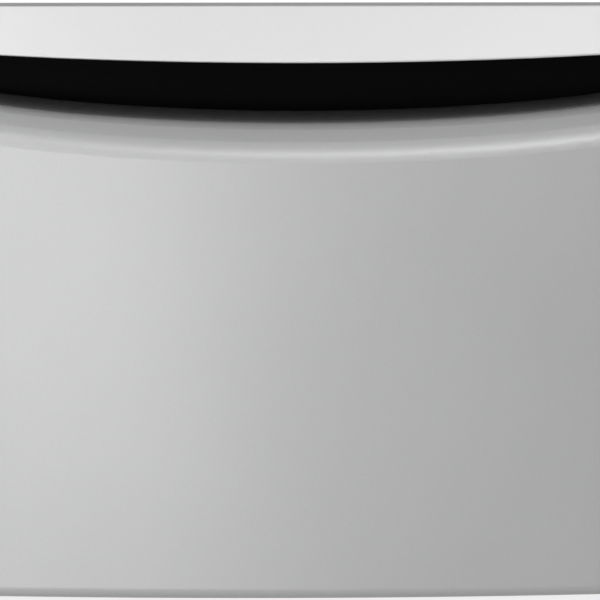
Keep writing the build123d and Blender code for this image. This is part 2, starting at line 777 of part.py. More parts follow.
# Cage with a hole for each ball.
def ball_cage(web_u, ball_u, ball_half):
    with BuildPart() as cage:
        lip_u = web_u + cage_sheet + cage_flange
        half_height = ball_half + cage_sheet / 2
        add(slide_channel(web_u, lip_u, half_height, cage_sheet, cage_front_y, cage_length))
        with Locations(*ball_spots(ball_u, ball_half)):
            Cylinder(ball_radius, 2 * ball_gap, mode=Mode.SUBTRACT)
    return cage


# Balls that sit in the holes of a cage.
def cage_balls(ball_u, ball_half):
    with BuildPart() as balls:
        with Locations(*ball_spots(ball_u, ball_half)):
            Sphere(ball_radius)
    return balls


with BuildPart() as slide_outer_right:
    add(slide_channel(0.0, outer_lip_u, outer_half, slide_sheet, slide_front_y, slide_length))
    for y in bracket_rows:
        for step in (-bracket_screw_offset, bracket_screw_offset):
            screw_seat = Plane((slide_x, y + step, slide_z), z_dir=(1, 0, 0))
            add(bore(screw_seat, screw_hole, 2 * slide_sheet), mode=Mode.SUBTRACT)
slide_outer_left = mirrored(slide_outer_right)

with BuildPart() as slide_middle_right:
    middle_lip_u = middle_u + channel_depth
    add(slide_channel(middle_u, middle_lip_u, middle_half, slide_sheet, slide_front_y, slide_length))
slide_middle_left = mirrored(slide_middle_right)

with BuildPart() as slide_inner_right:
    add(slide_channel(slide_thickness, inner_open_u, inner_half, slide_sheet, slide_front_y, slide_length))
    for y in slide_screw_rows:
        screw_seat = Plane((bin_half, y, slide_z), z_dir=(1, 0, 0))
        add(bore(screw_seat, screw_hole, 2 * slide_sheet), mode=Mode.SUBTRACT)
slide_inner_left = mirrored(slide_inner_right)

outer_ball_u = outer_cage_u + cage_sheet + cage_flange / 2
inner_ball_u = inner_cage_u + cage_sheet + cage_flange / 2
outer_ball_half = middle_half + ball_gap / 2
inner_ball_half = inner_half + ball_gap / 2
ball_cage_outer_right = ball_cage(outer_cage_u, outer_ball_u, outer_ball_half)
ball_cage_outer_left = mirrored(ball_cage_outer_right)
ball_cage_inner_right = ball_cage(inner_cage_u, inner_ball_u, inner_ball_half)
ball_cage_inner_left = mirrored(ball_cage_inner_right)
balls_outer_right = cage_balls(outer_ball_u, outer_ball_half)
balls_outer_left = mirrored(balls_outer_right)
balls_inner_right = cage_balls(inner_ball_u, inner_ball_half)
balls_inner_left = mirrored(balls_inner_right)

# Hat brackets that carry the outer slide member clear of the front flange.
with BuildPart() as slide_brackets_right:
    foot_face = wall_x - bracket_sheet
    for y in bracket_rows:
        near_y = y - bracket_web / 2
        far_y = y + bracket_web / 2
        bracket_points = [
            (foot_face, near_y - bracket_foot),
            (foot_face, near_y),
            (slide_x, near_y),
            (slide_x, far_y),
            (foot_face, far_y),
            (foot_face, far_y + bracket_foot),
        ]
        bracket_seat = Plane.XY.offset(slide_z - bracket_height / 2)
        hat_section = bent_section(bracket_seat, bracket_points, bend_radius, bracket_sheet, Side.RIGHT)
        extrude(hat_section, amount=bracket_height)
        for step in (-bracket_screw_offset, bracket_screw_offset):
            screw_seat = Plane((slide_x, y + step, slide_z), z_dir=(1, 0, 0))
            add(bore(screw_seat, screw_hole, 2 * bracket_sheet), mode=Mode.SUBTRACT)
slide_brackets_left = mirrored(slide_brackets_right)

with BuildPart() as slide_screws_right:
    for y in bracket_rows:
        for step in (-bracket_screw_offset, bracket_screw_offset):
            screw_seat = Plane((slide_x + bracket_sheet, y + step, slide_z), z_dir=(1, 0, 0))
            add(pan_screw(screw_seat, bracket_sheet + slide_sheet))
slide_screws_left = mirrored(slide_screws_right)

# Bin side: foot flange turned in, hem turned out at the top, flange for the front screws.
with BuildPart() as bin_side_right:
    side_points = [
        (bin_half - bin_flange, bin_bottom),
        (bin_half, bin_bottom),
        (bin_half, bin_top),
        (bin_half + bin_hem, bin_top),
        (bin_half + bin_hem, bin_top - bin_hem_turn),
    ]
    side_end = Plane.XZ.offset(-bin_back_y)
    side_section = bent_section(side_end, side_points, bin_bend, bin_sheet, Side.LEFT)
    extrude(side_section, amount=bin_depth)
    lug_low = (bin_half - bin_flange, drawer_back_y, bin_bottom + 2 * bin_bend)
    lug_high = (bin_half - bin_sheet / 2, drawer_back_y + bin_sheet, bin_top - 2 * bin_bend)
    add(block(lug_low, lug_high))
    for z in bin_screw_rows:
        hole_seat = Plane((bin_screw_x, drawer_back_y, z), z_dir=(0, 1, 0))
        add(bore(hole_seat, screw_hole, screw_tail), mode=Mode.SUBTRACT)
    for y in slide_screw_rows:
        hole_seat = Plane((bin_half, y, slide_z), z_dir=(1, 0, 0))
        add(bore(hole_seat, screw_hole, 2 * bin_sheet), mode=Mode.SUBTRACT)
bin_side_left = mirrored(bin_side_right)

# Bin bottom: turned up at the front, stiffened by raised beads.
with BuildPart() as bin_bottom_plate:
    plate_z = bin_bottom + bin_sheet
    plate_end_y = bin_back_y - bin_sheet
    plate_half = bin_half - bin_flange - bin_bend
    plate_points = [
        (drawer_back_y, plate_z + bin_flange),
        (drawer_back_y, plate_z),
        (plate_end_y, plate_z),
    ]
    plate_section = bent_section(Plane.YZ, plate_points, bin_bend, bin_sheet, Side.LEFT)
    extrude(plate_section, amount=plate_half, both=True)
    plate_low = (-bin_half + bin_bend, drawer_back_y + 2 * bin_bend, plate_z)
    add(block(plate_low, (bin_half - bin_bend, plate_end_y, plate_z + bin_sheet)))
    bead_seats = [(spot[0], (drawer_back_y + plate_end_y) / 2) for spot in bead_spots]
    bin_bead_length = bin_depth - 2 * bin_bead_end_clear
    with BuildSketch(Plane.XY.offset(plate_z + bin_sheet)):
        with Locations(*bead_seats):
            SlotOverall(bin_bead_length, bead_width, rotation=90)
    extrude(amount=bin_bead_depth)
    with BuildSketch(Plane.XY.offset(plate_z)):
        with Locations(*bead_seats):
            SlotOverall(bin_bead_length - 2 * bin_sheet, bead_width - 2 * bin_sheet, rotation=90)
    extrude(amount=bin_bead_depth, mode=Mode.SUBTRACT)

# Bin back with a hem turned backwards at the top.
with BuildPart() as bin_back:
    back_points = [
        (bin_back_y, bin_bottom + 2 * bin_bend),
        (bin_back_y, bin_top),
        (bin_back_y + bin_hem, bin_top),
        (bin_back_y + bin_hem, bin_top - bin_hem_turn),
    ]
    back_half = bin_half - bin_sheet
    back_section = bent_section(Plane.YZ, back_points, bin_bend, bin_sheet, Side.LEFT)
    extrude(back_section, amount=back_half, both=True)

with BuildPart() as front_screws:
    for x in (-bin_screw_x, bin_screw_x):
        for z in bin_screw_rows:
            add(pan_screw(Plane((x, drawer_back_y + bin_sheet, z), z_dir=(0, 1, 0)), screw_tail))

with BuildPart() as drawer_slide_screws:
    for y in slide_screw_rows:
        for x_side in (-1, 1):
            screw_seat = Plane((x_side * (bin_half + slide_sheet), y, slide_z), z_dir=(x_side, 0, 0))
            add(pan_screw(screw_seat, slide_sheet + 2 * bin_sheet))

pieces = {
    "front_skin": front_skin,
    "front_inner_panel": front_inner_panel,
    "handle_scoop": handle_scoop,
    "scoop_screws": scoop_screws,
    "fascia": fascia,
    "fascia_screws": fascia_screws,
    "top_deck": top_deck,
    "deck_screws": deck_screws,
    "side_panel_left": left_side_panel,
    "side_panel_right": right_side_panel,
    "rear_panel": rear_panel,
    "rear_panel_screws": rear_panel_screws,
    "top_rail_front": top_rail_front,
    "top_rail_rear": top_rail_rear,
    "deck_beam_left": deck_beam_left,
    "deck_beam_right": deck_beam_right,
    "base_rail_left": base_rail_left,
    "base_rail_right": base_rail_right,
    "base_rail_front": base_rail_front,
    "base_rail_rear": base_rail_rear,
    "corner_gussets": corner_gussets,
    "foot_weld_nuts": foot_weld_nuts,
    "foot_lock_nuts": foot_lock_nuts,
    "drawer_bumpers": drawer_bumpers,
    "slide_outer_left": slide_outer_left,
    "slide_outer_right": slide_outer_right,
    "slide_middle_left": slide_middle_left,
    "slide_middle_right": slide_middle_right,
    "slide_inner_left": slide_inner_left,
    "slide_inner_right": slide_inner_right,
    "ball_cage_outer_left": ball_cage_outer_left,
    "ball_cage_outer_right": ball_cage_outer_right,
    "ball_cage_inner_left": ball_cage_inner_left,
    "ball_cage_inner_right": ball_cage_inner_right,
    "balls_outer_left": balls_outer_left,
    "balls_outer_right": balls_outer_right,
    "balls_inner_left": balls_inner_left,
    "balls_inner_right": balls_inner_right,
    "slide_brackets_left": slide_brackets_left,
    "slide_brackets_right": slide_brackets_right,
    "slide_screws_left": slide_screws_left,
    "slide_screws_right": slide_screws_right,
    "bin_side_left": bin_side_left,
    "bin_side_right": bin_side_right,
    "bin_bottom": bin_bottom_plate,
    "bin_back": bin_back,
    "front_screws": front_screws,
    "drawer_slide_screws": drawer_slide_screws,
}
corner_names = ("left_front", "left_rear", "right_front", "right_rear")
for corner, (x, y) in zip(corner_names, foot_spots):
    pieces["foot_stud_" + corner] = foot_stud(x, y)
    pieces["foot_pad_" + corner] = foot_pad(x, y)

os.makedirs("parts", exist_ok=True)
for name, piece in pieces.items():
    piece.part.label = name
    export_step(piece.part, "parts/" + name + ".step")
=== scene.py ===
from math import cos, pi, radians, sin
import bpy
from mathutils import Euler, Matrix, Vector


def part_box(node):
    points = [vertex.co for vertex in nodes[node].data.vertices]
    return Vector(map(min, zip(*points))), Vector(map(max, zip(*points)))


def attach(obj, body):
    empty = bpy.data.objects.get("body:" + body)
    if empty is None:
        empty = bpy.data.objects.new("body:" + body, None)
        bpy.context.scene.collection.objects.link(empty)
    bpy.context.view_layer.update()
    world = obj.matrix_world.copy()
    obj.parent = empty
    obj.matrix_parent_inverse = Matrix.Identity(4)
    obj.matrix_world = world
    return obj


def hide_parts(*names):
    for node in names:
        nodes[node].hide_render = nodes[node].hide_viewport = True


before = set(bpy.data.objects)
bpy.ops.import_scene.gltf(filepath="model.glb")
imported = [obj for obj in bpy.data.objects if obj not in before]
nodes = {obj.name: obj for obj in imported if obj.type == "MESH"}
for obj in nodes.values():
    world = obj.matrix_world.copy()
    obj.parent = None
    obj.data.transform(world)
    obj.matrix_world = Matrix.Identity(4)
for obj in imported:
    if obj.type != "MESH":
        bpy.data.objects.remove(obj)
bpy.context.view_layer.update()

bpy.context.scene.view_settings.view_transform = "Standard"
print("frame loaded:", len(nodes), "CAD nodes")

fine = {"merge": 0.000005, "slice": 0.000001, "level": 0.00005}  # how near counts as the same place, in metres


class Wire:  # one output of a node, usable in sums
    def __init__(self, tree, socket):
        self.tree = tree
        self.socket = socket

    def node(self, kind, settings, values, out=0):  # any node: settings first, then its sockets
        made = self.tree.nodes.new("ShaderNode" + kind)
        for name, value in settings.items():
            if name == "stops":
                ramp = made.color_ramp.elements
                while len(ramp) < len(value):
                    ramp.new(0.5)
                for element, (place, shade) in zip(ramp, value):
                    element.position = place
                    element.color = (shade, shade, shade, 1)
            else:
                setattr(made, name, value)
        for name, value in values.items():
            if isinstance(value, Wire):
                self.tree.links.new(value.socket, made.inputs[name])
            else:
                made.inputs[name].default_value = value
        return Wire(self.tree, made.outputs[out]) if made.outputs else None

    def maths(self, operation, first, second):
        return self.node("Math", {"operation": operation}, {0: first, 1: second})

    def __add__(self, other):
        return self.maths("ADD", self, other)

    def __radd__(self, other):
        return self.maths("ADD", other, self)

    def __sub__(self, other):
        return self.maths("SUBTRACT", self, other)

    def __rsub__(self, other):
        return self.maths("SUBTRACT", other, self)

    def __mul__(self, other):
        return self.maths("MULTIPLY", self, other)

    def __rmul__(self, other):
        return self.maths("MULTIPLY", other, self)


finishes = {}  # by the record's slot name


def startFinish(name):  # a bare material and the point on the piece that it is looking at
    finish = bpy.data.materials.new(name + "_finish")
    finishes[name] = finish
    finish.use_nodes = True
    finish.node_tree.nodes.clear()
    coords = finish.node_tree.nodes.new("ShaderNodeTexCoord")
    return Wire(finish.node_tree, coords.outputs["Object"])


def stretch(spot, scale):  # the same point in a space pulled out along an axis
    return spot.node("Mapping", {}, {"Vector": spot, "Scale": scale})


def cloud(spot, scale, detail):
    return spot.node("TexNoise", {}, {"Vector": spot, "Scale": scale, "Detail": detail})


def streaks(spot, scale, detail):  # a cloud with a scale of its own along each axis
    return cloud(stretch(spot, scale), 1.0, detail)


def cells(spot, scale, out="Distance"):
    return spot.node("TexVoronoi", {}, {"Vector": spot, "Scale": scale}, out)


def cellShade(spot, scale):  # each cell in one shade of its own
    cell = cells(spot, scale, "Color")
    return cell.node("SeparateColor", {}, {0: cell})


def ramp(amount, *stops):
    return amount.node("ValToRGB", {"stops": stops}, {"Fac": amount})


def blend(first, second, share):  # the first pattern by its share, the second by the rest
    return first * share + second * (1 - share)


def swing(pattern, spread):  # a pattern from 0 to 1 as a little less or more than nothing
    return (pattern - 0.5) * spread


def tint(amount, dark, light):  # between two colours, which a mix takes at 6 and 7 and gives at 2
    return amount.node("Mix", {"data_type": "RGBA"}, {0: amount, 6: (*dark, 1), 7: (*light, 1)}, 2)


def bumpy(height, strength, distance):
    return height.node("Bump", {}, {"Height": height, "Strength": strength, "Distance": distance})


def endFinish(spot, values):
    spot.node("OutputMaterial", {}, {"Surface": spot.node("BsdfPrincipled", {}, values)})


def metalPaint(name, look):  # silver paint: flake, faint orange peel, slow drift
    spot = startFinish(name)
    flake = cellShade(spot, look["flakeScale"])
    drift = cloud(spot, look["driftScale"], detail=3)
    peel = cloud(spot, look["peelScale"], detail=1)
    endFinish(spot, {
        "Base Color": tint(blend(flake, drift, look["flakeShare"]), look["dark"], look["light"]),
        "Metallic": look["metallic"],
        "Roughness": look["rough"] + swing(flake, look["roughSpread"]),
        "Normal": bumpy(peel, look["peelStrength"], look["peelDepth"]),
    })


silverPaint = {
    "dark": (0.364, 0.365, 0.366), "light": (0.432, 0.433, 0.434), "metallic": 0.3, "rough": 0.40,
    "flakeScale": 2400, "flakeShare": 0.4, "roughSpread": 0.08, "driftScale": 7,
    "peelScale": 330, "peelStrength": 0.12, "peelDepth": 0.0002,
}
metalPaint("silver_paint", silverPaint)
paleSilverPaint = dict(silverPaint, dark=(0.57, 0.57, 0.57), light=(0.625, 0.625, 0.625))
metalPaint("pale_silver_paint", paleSilverPaint)

deckPaint = {
    "dark": (0.285, 0.287, 0.292), "light": (0.362, 0.366, 0.371), "metallic": 0.3, "rough": 0.46,
    "pebbleScale": 900, "pebbleShare": 0.4, "pebbleStrength": 0.4, "pebbleDepth": 0.0003,
    "driftScale": 9, "roughSpread": 0.15,
}


def deckFinish(look):  # powder coat: fine pebble, slow drift
    spot = startFinish("grey_deck_paint")
    pebble = cloud(spot, look["pebbleScale"], detail=2)
    drift = cloud(spot, look["driftScale"], detail=4)
    endFinish(spot, {
        "Base Color": tint(blend(pebble, drift, look["pebbleShare"]), look["dark"], look["light"]),
        "Roughness": look["rough"] + swing(drift, look["roughSpread"]),
        "Metallic": look["metallic"],
        "Normal": bumpy(pebble, look["pebbleStrength"], look["pebbleDepth"]),
    })


deckFinish(deckPaint)


def plasticFinish(name, look):  # moulded plastic with a fine spark-eroded grain
    spot = startFinish(name)
    grain = cells(spot, look["grainScale"])
    drift = cloud(spot, look["driftScale"], detail=3)
    endFinish(spot, {
        "Base Color": tint(blend(grain, drift, look["grainShare"]), look["dark"], look["light"]),
        "Roughness": look["rough"] + swing(drift, look["roughSpread"]),
        "Specular IOR Level": look["gloss"],
        "Normal": bumpy(grain, look["grainStrength"], look["grainDepth"]),
    })


# black far darker than real black plastic: painted shade standing for the dark recess behind the lip, on top of
# the plastic's own black
blackPlasticPaintedShade = {
    "dark": (0.0016, 0.0016, 0.0016), "light": (0.0034, 0.0034, 0.0034), "rough": 0.5, "gloss": 0.03,
    "grainScale": 1500, "grainShare": 0.5, "grainStrength": 0.3, "grainDepth": 0.0002,
    "driftScale": 30, "roughSpread": 0.12,
}
plasticFinish("black_plastic", blackPlasticPaintedShade)
greyPlastic = dict(blackPlasticPaintedShade, dark=(0.36, 0.36, 0.365), light=(0.42, 0.42, 0.425), rough=0.55, gloss=0.4,
                   grainScale=1100)
plasticFinish("grey_plastic", greyPlastic)

binPaint = {
    "dark": (0.48, 0.485, 0.49), "light": (0.56, 0.565, 0.57), "rough": 0.38,
    "driftScale": 6, "roughSpread": 0.1, "peelScale": 420, "peelStrength": 0.12, "peelDepth": 0.0002,
    "rubScale": (260, 9, 260), "rubStart": 0.56, "rubFull": 0.72, "rubShade": 0.12, "rubRough": 0.18,
}


def binFinish(look):  # pale enamel with faint rub marks along the drawer
    spot = startFinish("bin_paint")
    peel = cloud(spot, look["peelScale"], detail=1)
    drift = cloud(spot, look["driftScale"], detail=4)
    rub = ramp(streaks(spot, look["rubScale"], detail=3), (look["rubStart"], 0), (look["rubFull"], 1))
    endFinish(spot, {
        "Base Color": tint(drift - rub * look["rubShade"], look["dark"], look["light"]),
        "Roughness": look["rough"] + rub * look["rubRough"] + swing(drift, look["roughSpread"]),
        "Normal": bumpy(peel, look["peelStrength"], look["peelDepth"]),
    })


binFinish(binPaint)

galvanisedSteel = {
    "dark": (0.44, 0.45, 0.46), "light": (0.58, 0.59, 0.60), "metallic": 0.9, "rough": 0.38,
    "spangleScale": 170, "spangleShare": 0.6, "spangleRough": 0.16,
    "warpScale": 120, "warpReach": (0.005, 0.005, 0.005),
    "frostScale": 700, "frostShare": 0.2, "frostRough": 0.1, "frostHeight": 0.4,
    "streakScale": (14, 120, 14), "streakShare": 0.2, "bumpStrength": 0.08, "bumpDepth": 0.0004,
}


def galvanisedFinish(look):  # zinc spangle: crystal patches, each its own shade and sheen
    spot = startFinish("galvanised_steel")
    waver = stretch(cloud(spot, look["warpScale"], detail=2), look["warpReach"])
    warped = spot.node("VectorMath", {"operation": "ADD"}, {0: spot, 1: waver})
    spangle = cellShade(warped, look["spangleScale"])
    frost = cloud(spot, look["frostScale"], detail=3)
    streak = streaks(spot, look["streakScale"], detail=3)
    amount = spangle * look["spangleShare"] + frost * look["frostShare"] + streak * look["streakShare"]
    endFinish(spot, {
        "Base Color": tint(amount, look["dark"], look["light"]),
        "Metallic": look["metallic"],
        "Roughness": look["rough"] + spangle * look["spangleRough"] + swing(frost, look["frostRough"]),
        "Normal": bumpy(spangle + frost * look["frostHeight"], look["bumpStrength"], look["bumpDepth"]),
    })


galvanisedFinish(galvanisedSteel)


def platedFinish(name, look):  # plated steel with rolling lines along the slide
    spot = startFinish(name)
    lines = streaks(spot, look["lineScale"], detail=4)
    haze = cloud(spot, look["hazeScale"], detail=4)
    endFinish(spot, {
        "Base Color": tint(blend(lines, haze, look["lineShare"]), look["dark"], look["light"]),
        "Metallic": 1.0,
        "Roughness": look["rough"] + swing(lines, look["lineRough"]) + swing(haze, look["hazeRough"]),
        "Normal": bumpy(lines, look["lineStrength"], look["lineDepth"]),
    })


slideSteel = {
    "dark": (0.42, 0.43, 0.44), "light": (0.62, 0.63, 0.64), "rough": 0.30,
    "lineScale": (900, 14, 900), "lineShare": 0.5, "lineRough": 0.18, "lineStrength": 0.1, "lineDepth": 0.0001,
    "hazeScale": 45, "hazeRough": 0.1,
}
platedFinish("slide_steel", slideSteel)
cageSteel = dict(slideSteel, dark=(0.36, 0.34, 0.28), light=(0.54, 0.51, 0.42), rough=0.36)
platedFinish("cage_steel", cageSteel)

polishedBalls = {
    "dark": (0.55, 0.56, 0.57), "light": (0.66, 0.67, 0.68), "rough": 0.09, "filmScale": 500, "filmRough": 0.12,
}


def ballFinish(look):  # hardened steel under a thin film of grease
    spot = startFinish("polished_balls")
    film = cloud(spot, look["filmScale"], detail=3)
    endFinish(spot, {
        "Base Color": tint(film, look["dark"], look["light"]),
        "Metallic": 1.0,
        "Roughness": look["rough"] + film * look["filmRough"],
    })


ballFinish(polishedBalls)

zincFasteners = {
    "dark": (0.46, 0.47, 0.50), "light": (0.66, 0.66, 0.63), "rough": 0.26,
    "mottleScale": 160, "mottleRough": 0.16,
    "chatterScale": (60, 60, 2400), "chatterRough": 0.1, "chatterStrength": 0.12, "chatterDepth": 0.0001,
}


def fastenerFinish(look):  # bright zinc: blue to straw mottling, fine tool chatter
    spot = startFinish("zinc_fasteners")
    mottle = cloud(spot, look["mottleScale"], detail=4)
    chatter = streaks(spot, look["chatterScale"], detail=2)
    endFinish(spot, {
        "Base Color": tint(mottle, look["dark"], look["light"]),
        "Metallic": 1.0,
        "Roughness": look["rough"] + swing(mottle, look["mottleRough"]) + swing(chatter, look["chatterRough"]),
        "Normal": bumpy(chatter, look["chatterStrength"], look["chatterDepth"]),
    })


fastenerFinish(zincFasteners)

blackRubber = {
    "dark": (0.007, 0.007, 0.007), "light": (0.014, 0.014, 0.014), "rough": 0.40, "gloss": 0.4,
    "dustScale": 240, "dustRough": 0.2, "grainScale": 2200, "grainStrength": 0.25, "grainDepth": 0.0002,
}


def rubberFinish(look):  # dull rubber, a little dusty
    spot = startFinish("black_rubber")
    dust = cloud(spot, look["dustScale"], detail=5)
    grain = cloud(spot, look["grainScale"], detail=2)
    endFinish(spot, {
        "Base Color": tint(dust, look["dark"], look["light"]),
        "Roughness": look["rough"] + swing(dust, look["dustRough"]),
        "Specular IOR Level": look["gloss"],
        "Normal": bumpy(grain, look["grainStrength"], look["grainDepth"]),
    })


rubberFinish(blackRubber)

for node in nodes.values():  # each CAD node wears the finish its slot names
    for place in node.material_slots:
        place.material = finishes[place.material.name]
print("finishes made:", len(finishes))


def dress(piece, body, slotName, *standsFor):  # finish, body to move with, CAD nodes it stands for
    piece.data.materials.clear()
    piece.data.materials.append(finishes[slotName])
    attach(piece, body)
    if standsFor:
        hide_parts(*standsFor)


def takeUp(*pieces):  # only these are selected, and the last one is active
    bpy.ops.object.select_all(action="DESELECT")
    for piece in pieces:
        piece.select_set(True)
        bpy.context.view_layer.objects.active = piece


def millimetres(points):  # pairs given in millimetres, in metres
    return [(first / 1000, second / 1000) for first, second in points]


def drawLine(name, places):  # a small plane merged to one point, which is then pulled from place to place
    bpy.ops.object.select_all(action="DESELECT")
    bpy.ops.mesh.primitive_plane_add(size=0.001)
    piece = bpy.context.object
    piece.name = name
    bpy.ops.object.mode_set(mode="EDIT")
    bpy.ops.mesh.select_mode(type="VERT")
    bpy.ops.mesh.select_all(action="SELECT")
    bpy.ops.mesh.merge(type="CENTER")
    bpy.ops.transform.translate(value=places[0])
    for here, there in zip(places, places[1:]):
        bpy.ops.mesh.extrude_region_move(TRANSFORM_OT_translate={"value": there - here})
    bpy.ops.object.mode_set(mode="OBJECT")
    return piece


def drawProfile(name, points):  # half a section, from its radius and height at each point
    return drawLine(name, [Vector((radius, 0, rise)) for radius, rise in points])


def closeUp(piece):  # seams and poles joined, faces outwards
    takeUp(piece)
    bpy.ops.object.mode_set(mode="EDIT")
    bpy.ops.mesh.select_all(action="SELECT")
    bpy.ops.mesh.remove_doubles(threshold=fine["merge"])
    bpy.ops.mesh.normals_make_consistent(inside=False)
    bpy.ops.object.mode_set(mode="OBJECT")


def turned(name, points, steps):  # a section spun round the upright axis
    piece = drawProfile(name, points)
    bpy.ops.object.mode_set(mode="EDIT")
    bpy.ops.mesh.select_all(action="SELECT")
    bpy.ops.mesh.spin(steps=steps, angle=2 * pi, center=(0, 0, 0), axis=(0, 0, 1))
    bpy.ops.object.mode_set(mode="OBJECT")
    closeUp(piece)
    return piece


def cut(piece, tool, operation):  # boolean with a tool that is then thrown away
    change = piece.modifiers.new("cut", "BOOLEAN")
    change.operation = operation
    change.solver = "EXACT"
    change.object = tool
    takeUp(piece)
    bpy.ops.object.modifier_apply(modifier="cut")
    bpy.data.objects.remove(tool)


def smooth(piece, degrees):
    takeUp(piece)
    bpy.ops.object.shade_smooth_by_angle(angle=radians(degrees))


def copyTo(piece, name, place):  # a copy with its own mesh, its place put into that mesh
    takeUp(piece)
    bpy.ops.object.duplicate()
    copy = bpy.context.object
    copy.name = name
    copy.location = place
    bpy.ops.object.transform_apply(location=True, rotation=False, scale=False)
    return copy


# crown is a share of half the flat, and fall a share of how far the corners stand out past the crown
hexagon = {"crown": 0.97, "fall": 0.58, "steps": 72}


def hexagonBlock(name, flat, low, high):  # six-sided bar with its corners turned down to a cone
    corner = flat / 3 ** 0.5
    bpy.ops.object.select_all(action="DESELECT")
    bpy.ops.mesh.primitive_cylinder_add(vertices=6, radius=corner, depth=high - low,
                                        location=(0, 0, (low + high) / 2))
    block = bpy.context.object
    block.name = name
    bpy.ops.object.transform_apply(location=True)
    crown = flat / 2 * hexagon["crown"]
    fall = (corner - crown) * hexagon["fall"]
    cone = turned("corner_cone", [(0, low), (crown, low), (corner, low + fall), (corner, high - fall),
                                  (crown, high), (0, high)], hexagon["steps"])
    cut(block, cone, "INTERSECT")
    return block


footCorners = ("left_front", "left_rear", "right_front", "right_rear")
footSpots = {}
for corner in footCorners:
    low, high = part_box("foot_pad_" + corner)
    footSpots[corner] = Vector(((low.x + high.x) / 2, (low.y + high.y) / 2, 0))

footStud = {
    "flangeRadius": 0.015, "flangeLow": 0.004, "flangeHigh": 0.006, "flangeEdge": 0.0005, "flangeSteps": 64,
    "hexFlat": 0.019, "hexHigh": 0.009, "hexSink": 0.0002,  # a sink is the depth set into the piece below
    "threadRadius": 0.00495, "threadRoot": 0.0042, "threadSink": 0.0003, "threadTop": 0.0408,
    "pitch": 0.0015, "crestStart": 0.36, "crestEnd": 0.52, "rootStart": 0.88,  # shares of the pitch
    "turnsBelow": 3, "turnsAbove": 2, "turnSteps": 28, "smoothBelow": 28,
}


def makeThread(look):  # one turn of the profile wound upwards, then cut off level at both ends
    pitch = look["pitch"]
    root = look["threadRoot"]
    crest = look["threadRadius"]
    start = look["hexHigh"] - look["turnsBelow"] * pitch
    thread = drawProfile("stud_thread", [
        (root, start), (crest, start + pitch * look["crestStart"]), (crest, start + pitch * look["crestEnd"]),
        (root, start + pitch * look["rootStart"]), (root, start + pitch)])
    winding = thread.modifiers.new("winding", "SCREW")
    winding.axis = "Z"
    winding.angle = 2 * pi
    winding.screw_offset = pitch
    winding.iterations = int((look["threadTop"] - start) / pitch) + look["turnsAbove"]
    winding.steps = look["turnSteps"]
    winding.render_steps = look["turnSteps"]
    winding.use_merge_vertices = True
    takeUp(thread)
    bpy.ops.object.modifier_apply(modifier="winding")
    bpy.ops.object.mode_set(mode="EDIT")
    bpy.ops.mesh.select_all(action="SELECT")
    bpy.ops.mesh.bisect(plane_co=(0, 0, look["threadTop"]), plane_no=(0, 0, 1), use_fill=True,
                        clear_outer=True, threshold=fine["slice"])
    bpy.ops.mesh.select_all(action="SELECT")
    bpy.ops.mesh.bisect(plane_co=(0, 0, look["hexHigh"] - look["threadSink"]), plane_no=(0, 0, 1),
                        use_fill=True, clear_inner=True, threshold=fine["slice"])
    bpy.ops.object.mode_set(mode="OBJECT")
    closeUp(thread)
    return thread


def makeFootStud(look):
    radius = look["flangeRadius"]
    edge = look["flangeEdge"]
    low = look["flangeLow"]
    high = look["flangeHigh"]
    flange = turned("stud_flange", [(0, low), (radius - edge, low), (radius, low + edge), (radius, high - edge),
                                    (radius - edge, high), (0, high)], look["flangeSteps"])
    wrenchFlats = hexagonBlock("stud_hexagon", look["hexFlat"], high - look["hexSink"], look["hexHigh"])
    thread = makeThread(look)
    takeUp(flange, wrenchFlats, thread)
    bpy.ops.object.join()
    smooth(thread, look["smoothBelow"])
    return thread


footPad = {  # half section in millimetres: grooved sole, bulged rim, flat seat for the flange
    "section": ((0, 0.7), (4.6, 0.7), (5.2, 0), (7.8, 0), (8.4, 0.8), (9.6, 0.8), (10.2, 0), (12.6, 0),
                (13.2, 0.8), (14.2, 0.8), (14.8, 0), (16.6, 0), (17.5, 0.35), (18, 1.2), (18, 1.7),
                (17.6, 2.0), (17.6, 2.3), (17.9, 2.6), (17.8, 3.1), (17.2, 3.7), (16.4, 4.0), (15.4, 4.0),
                (15.1, 3.8), (0, 3.8)),
    "steps": 72, "smoothBelow": 35,
}


def makeFootPad(look):
    pad = turned("pad_rubber", millimetres(look["section"]), look["steps"])
    smooth(pad, look["smoothBelow"])
    return pad


stud = makeFootStud(footStud)
pad = makeFootPad(footPad)
for corner in footCorners:
    dress(copyTo(stud, "threaded_stud_" + corner, footSpots[corner]), "foot_" + corner, "zinc_fasteners",
          "foot_stud_" + corner)
    dress(copyTo(pad, "grooved_pad_" + corner, footSpots[corner]), "foot_" + corner, "black_rubber",
          "foot_pad_" + corner)
bpy.data.objects.remove(stud)
bpy.data.objects.remove(pad)
print("feet made")

footNut = {
    "flat": 0.017, "bore": 0.0053, "boreRound": 0.0006, "drillSpare": 0.001, "steps": 48, "smoothBelow": 28,
}


def makeNut(name, look, low, high):
    nut = hexagonBlock(name, look["flat"], low, high)
    bore = look["bore"]
    edge = look["boreRound"]
    spare = look["drillSpare"]  # how far the drill stands out at both ends
    wide = bore + edge + spare
    drill = turned("bore_tool", [(0, low - spare), (wide, low - spare), (bore, low + edge), (bore, high - edge),
                                 (wide, high + spare), (0, high + spare)], look["steps"])
    cut(nut, drill, "DIFFERENCE")
    smooth(nut, look["smoothBelow"])
    return nut


for nodeName, pieceName in (("foot_lock_nuts", "lock_nut_set"), ("foot_weld_nuts", "weld_nut_set")):
    low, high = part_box(nodeName)
    nut = makeNut("nut", footNut, low.z, high.z)
    nutSet = [copyTo(nut, pieceName, footSpots[corner]) for corner in footCorners]
    bpy.data.objects.remove(nut)
    takeUp(*nutSet)
    bpy.ops.object.join()
    bpy.context.object.name = pieceName
    dress(bpy.context.object, "cabinet", "zinc_fasteners", nodeName)
print("nuts made")

